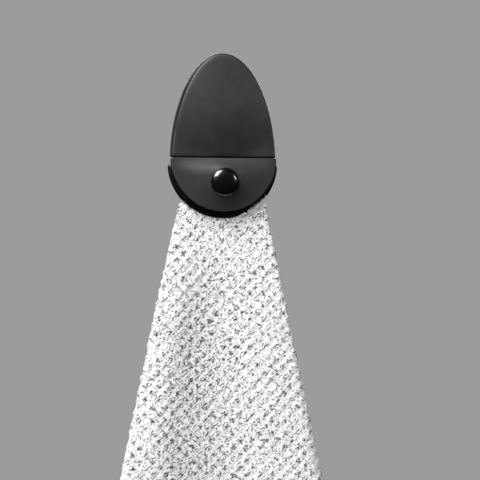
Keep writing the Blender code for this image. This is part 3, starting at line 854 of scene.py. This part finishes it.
def freedom(place, u, v):
    """How thick the cloth may stand: pressed flat in the clamp and at the start of a fold."""
    from_snap = np.hypot(place[..., 0], place[..., 2] - PATCH_TOP)
    clamp = ease((from_snap - PATCH_RADIUS) / (3 * MM))
    x, down = (v - u) / math.sqrt(2), (u + v) / math.sqrt(2)
    reach = np.hypot(np.abs(x) - LET_GO, down - LET_GO)
    start = 0.35 + 0.65 * ease((reach - 6 * MM) / (50 * MM))
    return 0.42 + 0.58 * clamp * start


# %% [markdown]
# ## The waffle cloth
#
# Waffle weave has a small square cell, about 5 mm, with raised ribs and a sunken middle. The grid
# has four faces to a cell, so the ribs, their crossings and the pits are real relief. The towel's
# own UV map counts cells, so the yarns in the material keep the cell's size, however the cloth folds.

# %% Waffle towel
FACES_PER_CELL = 4
RIB_HIGH = 0.32  # in millimetres, as are the next two
CROSSING_HIGH = 0.10
LOOP_SCATTER = 0.15
bm = bmesh.new()
bmesh.ops.create_grid(bm, x_segments=CELLS * FACES_PER_CELL, y_segments=CELLS * FACES_PER_CELL, size=0.5)
mesh = bpy.data.meshes.new("waffle_towel")
bm.to_mesh(mesh)
bm.free()
count = len(mesh.vertices)
flat = np.empty(count * 3, np.float32)
mesh.vertices.foreach_get("co", flat)
flat = (flat.reshape(-1, 3).astype(float) + 0.5) * TOWEL_SIDE
flat_u, flat_v = flat[:, 0], flat[:, 1]
place, facing = fold_facing(flat_u, flat_v)
rib_u = np.cos(2 * math.pi * flat_u / CELL)
rib_v = np.cos(2 * math.pi * flat_v / CELL)
rng = np.random.default_rng(5)
relief = RIB_HIGH * np.maximum(rib_u, rib_v) + CROSSING_HIGH * (rib_u + rib_v)
relief = relief + LOOP_SCATTER * rng.standard_normal(count)
place = place + facing * (relief * MM * freedom(place, flat_u, flat_v))[:, None]
mesh.vertices.foreach_set("co", place.astype(np.float32).ravel())
hollow = mesh.attributes.new("hollow", "FLOAT", "POINT")
hollow.data.foreach_set("value", valley_share(place[:, 0], PATCH_FOOT - place[:, 2]).astype(np.float32))
uv_map = mesh.uv_layers.new(name="weave")
corner_vert = np.empty(len(mesh.loops), np.int32)
mesh.loops.foreach_get("vertex_index", corner_vert)
weave = np.stack([flat_u, flat_v], axis=-1)[corner_vert] / CELL
uv_map.data.foreach_set("uv", weave.astype(np.float32).ravel())
mesh.update()
if mesh.polygons[0].normal.y > 0:
    mesh.flip_normals()
mesh.shade_smooth()
waffle_towel = bpy.data.objects.new("waffle_towel", mesh)
bpy.context.scene.collection.objects.link(waffle_towel)
print("towel box", place.min(axis=0).round(4), place.max(axis=0).round(4))

# %% [markdown]
# ### Waffle material
#
# The yarn is bright white and fuzzy. Where yarns cross they leave short gaps, painted dark grey as
# the shadow in them, most of them along the weft, and more of them in the pits. Noise stretched along
# each way of the weave gives the gaps, and a Voronoi texture with little randomness gives one pit to
# a cell, not quite in line. Deep in a fold the cloth gets less light, so the "hollow" attribute
# widens the painted gap shadows and paints the white darker, as painted shade. The fuzz itself is
# painted as lit and shaded white.

# %% Weave group
PIT_OPENS = 0.10  # how much a pit widens the painted gap shadows
HOLLOW_OPENS = 0.03  # and how much a deep fold does
# painted shade: how much a deep fold darkens the white
HOLLOW_SHADE = 0.62
WEFT_SCALE = (2.8, 6.0)  # how fine the noise is along u and v: longer along the yarn
WARP_SCALE = (5.8, 2.8)
weave_group = bpy.data.node_groups.new("waffle_weave", "ShaderNodeTree")
weave_group.interface.new_socket("Hollow", in_out="INPUT", socket_type="NodeSocketFloat")
for name in ("Gap Shadows", "Height", "Shade"):
    weave_group.interface.new_socket(name, in_out="OUTPUT", socket_type="NodeSocketFloat")
group_in = weave_group.nodes.new("NodeGroupInput")
group_out = weave_group.nodes.new("NodeGroupOutput")
uv = put(weave_group, "ShaderNodeUVMap", uv_map="weave").outputs["UV"]
pits = put(weave_group, "ShaderNodeTexVoronoi", scale=1.0, randomness=0.24)
weave_group.links.new(uv, pits.inputs["Vector"])
pit = spread(weave_group, pits.outputs["Distance"], 0.48, 0.08)
cell_luck = weave_group.nodes.new("ShaderNodeSeparateColor")
weave_group.links.new(pits.outputs["Color"], cell_luck.inputs["Color"])


def times(value, factor):
    return calc(weave_group, "MULTIPLY", value, factor)


def stretched_noise(stretch, scale, detail):
    """Noise on the towel's UV map, drawn out by different scales along u and v."""
    turn = put(weave_group, "ShaderNodeMapping")
    turn.inputs["Scale"].default_value = (*stretch, 1.0)
    weave_group.links.new(uv, turn.inputs["Vector"])
    noise = put(weave_group, "ShaderNodeTexNoise", scale=scale, detail=detail, roughness=0.55)
    weave_group.links.new(turn.outputs["Vector"], noise.inputs["Vector"])
    return noise.outputs["Fac"]


luck = spread(weave_group, cell_luck.outputs["Red"], 0.15, 0.85, 0.60, 1.0)
in_pit = times(pit, luck)
in_hollow = group_in.outputs["Hollow"]
opening = calc(weave_group, "ADD", times(in_pit, PIT_OPENS), times(in_hollow, HOLLOW_OPENS))
weft = calc(weave_group, "ADD", stretched_noise(WEFT_SCALE, 1.0, 3.0), opening)
warp = calc(weave_group, "ADD", stretched_noise(WARP_SCALE, 1.0, 3.0), opening)
# The gaps between yarns, painted dark grey as the shadow in them.
weft_gap_shadows = spread(weave_group, weft, 0.560, 0.655)
warp_gap_shadows = spread(weave_group, warp, 0.575, 0.67, 0.0, 0.8)
gap_shadows = calc(weave_group, "MAXIMUM", weft_gap_shadows, warp_gap_shadows, clamp=True)
fuzz = stretched_noise((1.0, 1.0), 8.0, 4.0)
weave_group.links.new(gap_shadows, group_out.inputs["Gap Shadows"])
lumps = calc(weave_group, "SUBTRACT", fuzz, times(in_pit, 0.4))
height = calc(weave_group, "SUBTRACT", lumps, times(gap_shadows, 0.8))
weave_group.links.new(height, group_out.inputs["Height"])
# The fuzz painted lit and shaded white, darker deep in a fold as painted shade.
fluff_shade = spread(weave_group, fuzz, 0.3, 0.6)
lit = calc(weave_group, "SUBTRACT", fluff_shade, times(in_hollow, HOLLOW_SHADE), clamp=True)
weave_group.links.new(lit, group_out.inputs["Shade"])

# %% Waffle material
# The fuzz is painted lit and shaded white, and the gaps dark grey as the shadow in them.
WHITE = (0.82, 0.82, 0.825)
SHADED_WHITE = (0.52, 0.52, 0.53)
GAP_SHADOW_GREY = (0.040, 0.040, 0.043)
waffle, tree, shader = new_material("white_waffle", 0.95)
weave_node = tree.nodes.new("ShaderNodeGroup")
weave_node.node_tree = weave_group
hollow_value = put(tree, "ShaderNodeAttribute", attribute_name="hollow").outputs["Fac"]
tree.links.new(hollow_value, weave_node.inputs["Hollow"])
fibres = mix_colour(tree, weave_node.outputs["Shade"], SHADED_WHITE, WHITE)
tint(tree, shader, weave_node.outputs["Gap Shadows"], fibres, GAP_SHADOW_GREY)
shader.inputs["Sheen Weight"].default_value = 0.25
shader.inputs["Sheen Roughness"].default_value = 0.6
shader.inputs["Specular IOR Level"].default_value = 0.2
bump(tree, shader, weave_node.outputs["Height"], 0.5 * MM, 0.8)
waffle_towel.data.materials.append(waffle)

# %% [markdown]
# ## Hems and stitches
#
# Each edge of the towel is turned over and sewn, which leaves a flatter band 8 mm wide. A hem is a
# grid that is as long as the edge and goes once round the band's section. Its points are measured
# on the flat square and folded with it, so it stays on the cloth all the way.

# %% Hem bands
HEM_WIDE = 8 * MM
HEM_HALF = 1.15 * MM  # half its thickness
HEM_OVER = 0.6 * MM  # how far it stands out past the cloth's edge
HEM_START = 47 * MM  # along the edge from the corner: above this the clamp presses the hem flat
# The band's section: the share of its width inwards, and of its half thickness outwards.
hem_section = [
    (1.0, 0.75),
    (0.93, 1.0),
    (0.72, 1.02),
    (0.45, 1.0),
    (0.2, 1.0),
    (0.06, 0.8),
    (0.0, 0.35),
    (0.0, -0.35),
    (0.06, -0.8),
    (0.2, -1.0),
    (0.45, -1.0),
    (0.72, -1.02),
    (0.93, -1.0),
    (1.0, -0.75),
]


def edge_point(edge, along, inward):
    """Flat u and v of a point on one of the four edges, and so far in from it."""
    if edge == "upper_right":
        return inward, along
    if edge == "upper_left":
        return along, inward
    if edge == "lower_right":
        return along, TOWEL_SIDE - inward
    return TOWEL_SIDE - inward, along


HEM_SHADED = (0.62, 0.62, 0.63)
HEM_WHITE = (0.90, 0.90, 0.90)
hem_cloth, tree, shader = new_material("white_hem", 0.92)
uv = put(tree, "ShaderNodeUVMap", uv_map="thread").outputs["UV"]
threads = put(tree, "ShaderNodeTexNoise", scale=1.0, detail=3.0)
stretch = put(tree, "ShaderNodeMapping")
stretch.inputs["Scale"].default_value = (1400.0, 500.0, 1.0)
tree.links.new(uv, stretch.inputs["Vector"])
tree.links.new(stretch.outputs["Vector"], threads.inputs["Vector"])
tint(tree, shader, spread(tree, threads.outputs["Fac"], 0.3, 0.65), HEM_SHADED, HEM_WHITE)
shader.inputs["Sheen Weight"].default_value = 0.25
shader.inputs["Specular IOR Level"].default_value = 0.2
bump(tree, shader, threads.outputs["Fac"], 0.3 * MM, 0.7)

hem_pieces = []
hem_runs = {
    "upper_left": (HEM_START, TOWEL_SIDE - 4.6 * MM),
    "upper_right": (HEM_START, TOWEL_SIDE - 4.6 * MM),
    "lower_left": (4.2 * MM, TOWEL_SIDE),
    "lower_right": (4.2 * MM, TOWEL_SIDE),
}
ALONG_STEPS = 260
section_table = np.array(hem_section)
section_steps = np.arange(len(hem_section))
for edge, (first, last) in hem_runs.items():
    bm = bmesh.new()
    bmesh.ops.create_grid(bm, x_segments=ALONG_STEPS, y_segments=len(hem_section) - 1, size=0.5)
    where = np.array([v.co[:2] for v in bm.verts]) + 0.5
    along = first + (last - first) * where[:, 0]
    around = where[:, 1] * (len(hem_section) - 1)
    inward = HEM_WIDE * np.interp(around, section_steps, section_table[:, 0]) - HEM_OVER
    thick = HEM_HALF * np.interp(around, section_steps, section_table[:, 1])
    flat_u, flat_v = edge_point(edge, along, inward)
    place, facing = fold_facing(flat_u, flat_v)
    place = place + facing * (thick * freedom(place, flat_u, flat_v))[:, None]
    uv_layer = bm.loops.layers.uv.new("thread")
    for vert, spot, a, b in zip(bm.verts, place, along, inward):
        vert.co = spot
        for loop in vert.link_loops:
            loop[uv_layer].uv = (a, b)
    open_ends = [e for e in bm.edges if e.is_boundary]
    rows = where[:, 1].round(6)
    long_sides = [e for e in open_ends if rows[e.verts[0].index] == rows[e.verts[1].index]]
    bmesh.ops.bridge_loops(bm, edges=long_sides)
    bmesh.ops.holes_fill(bm, edges=[e for e in bm.edges if e.is_boundary], sides=0)
    bmesh.ops.recalc_face_normals(bm, faces=bm.faces)
    hem = finish_piece(f"hem_band_{edge}", bm, hem_cloth)
    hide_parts(f"hem_{edge}")
    hem_pieces.append(hem)

# %% [markdown]
# ### Stitches
#
# A straight seam holds each hem down, 6 mm from the edge. Each stitch is a small stretched ball that
# lies along the seam and sinks a little into the cloth. There are hundreds, so each has few faces.

# %% Stitches
STITCH_PITCH = 3.1 * MM
STITCH_LONG = 1.15 * MM
STITCH_THICK = 0.28 * MM
SEAM_IN = 5.6 * MM
THREAD_SHADED = (0.70, 0.70, 0.71)
THREAD_WHITE = (0.92, 0.92, 0.92)
thread, tree, shader = new_material("white_thread", 0.6)
twist = put(tree, "ShaderNodeTexNoise", scale=4000.0, detail=1.0)
tree.links.new(put(tree, "ShaderNodeTexCoord").outputs["Object"], twist.inputs["Vector"])
tint(tree, shader, twist.outputs["Fac"], THREAD_SHADED, THREAD_WHITE)
bump(tree, shader, twist.outputs["Fac"], 0.1 * MM, 0.5)

bm = bmesh.new()
for edge, (first, last) in hem_runs.items():
    begin = first + 2 * MM
    seam = np.arange(begin, last - 3 * MM, STITCH_PITCH)
    inward = np.full_like(seam, SEAM_IN)
    flat_u, flat_v = edge_point(edge, seam, inward)
    place, facing = fold_facing(flat_u, flat_v)
    ahead, _ = fold_facing(*edge_point(edge, seam + 0.5 * MM, inward))
    for way in (1, -1):
        for spot, out, next_spot in zip(place, facing, ahead):
            x_axis = Vector(next_spot - spot).normalized()
            z_axis = (Vector(out) * way).normalized()
            y_axis = z_axis.cross(x_axis).normalized()
            z_axis = x_axis.cross(y_axis)
            sides = Matrix((x_axis * STITCH_LONG, y_axis * STITCH_THICK, z_axis * STITCH_THICK))
            pose = sides.transposed().to_4x4()
            pose.translation = Vector(spot) + z_axis * (HEM_HALF + 0.06 * MM)
            bmesh.ops.create_icosphere(bm, subdivisions=1, radius=1.0, matrix=pose)
hem_stitches = finish_piece("hem_stitches", bm, thread)

# %% [markdown]
# ### Tufts at the clamp
#
# Where the patch presses the cloth at the lower right, yarn loops stand up and lie over the patch's
# rim. Each tuft is a thin cone in two bent parts. They are longest in the middle of that stretch.

# %% Tufts
TUFT_COUNT = 80
TUFT_FROM, TUFT_TO = 37, 74  # degrees below level, round the rim
TUFT_CROWD, TUFT_THIN = 50, 17  # they are longest at the first angle and fade over the second
TUFT_SHORT = 1.0 * MM
TUFT_MORE = 2.6 * MM
RING_TURNS = (0.0, 2.1, 4.2)  # a tuft has three sides
rng = np.random.default_rng(11)
bm = bmesh.new()
for _ in range(TUFT_COUNT):
    turn = -math.radians(rng.uniform(TUFT_FROM, TUFT_TO))
    crowd = math.exp(-(((math.degrees(-turn) - TUFT_CROWD) / TUFT_THIN) ** 2))
    root_reach = PATCH_RADIUS + rng.uniform(-0.1, 0.5) * MM
    length = TUFT_SHORT + TUFT_MORE * rng.uniform(0.3, 1.0) * crowd
    slant = turn + rng.uniform(-0.8, 0.8)
    root_z = PATCH_TOP + root_reach * math.sin(turn)
    root = Vector((root_reach * math.cos(turn), patch_low.y + 0.9 * MM, root_z))
    inward_way = -Vector((math.cos(slant), 0.0, math.sin(slant)))
    bend = root + inward_way * length * 0.45 + Vector((0.0, -rng.uniform(1.3, 1.8) * MM, 0.0))
    tip = bend + inward_way * length * 0.55 + Vector((0.0, rng.uniform(0.0, 0.3) * MM, 0.0))
    thick = rng.uniform(0.24, 0.40) * MM
    rings = []
    for spot, radius in ((root, thick), (bend, 0.8 * thick)):
        corners = [spot + radius * Vector((math.cos(a), 0.0, math.sin(a))) for a in RING_TURNS]
        rings.append([bm.verts.new(corner) for corner in corners])
    point = bm.verts.new(tip)
    for i in range(3):
        j = (i + 1) % 3
        bm.faces.new((rings[0][i], rings[0][j], rings[1][j], rings[1][i]))
        bm.faces.new((rings[1][i], rings[1][j], point))
    bm.faces.new(rings[0][::-1])
bmesh.ops.recalc_face_normals(bm, faces=bm.faces)
clamp_tufts = finish_piece("clamp_tufts", bm, thread)
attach(clamp_tufts, "towel_head")

# %% [markdown]
# ## The cloth in place
#
# The towel bends just below the patches. Above that line it is held by the clamp, and below it
# swings. Here the towel, the hems and the stitches only have their places baked into their meshes.

# %% Bake the cloth in place
for piece in [waffle_towel, *hem_pieces, hem_stitches]:
    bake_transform(piece)
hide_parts("towel_corner", "towel_cloth")

# %% [markdown]
# ## Floor finish
#
# The floor is plain and pale, so that it bounces a little light up under the towel.

# %% Floor material
pale, tree, shader = new_material("pale_floor", 0.8)
speckle = put(tree, "ShaderNodeTexNoise", scale=40.0, detail=3.0)
tree.links.new(put(tree, "ShaderNodeTexCoord").outputs["Object"], speckle.inputs["Vector"])
tint(tree, shader, speckle.outputs["Fac"], (0.66, 0.66, 0.66), (0.72, 0.72, 0.72))
floor.data.materials.append(pale)
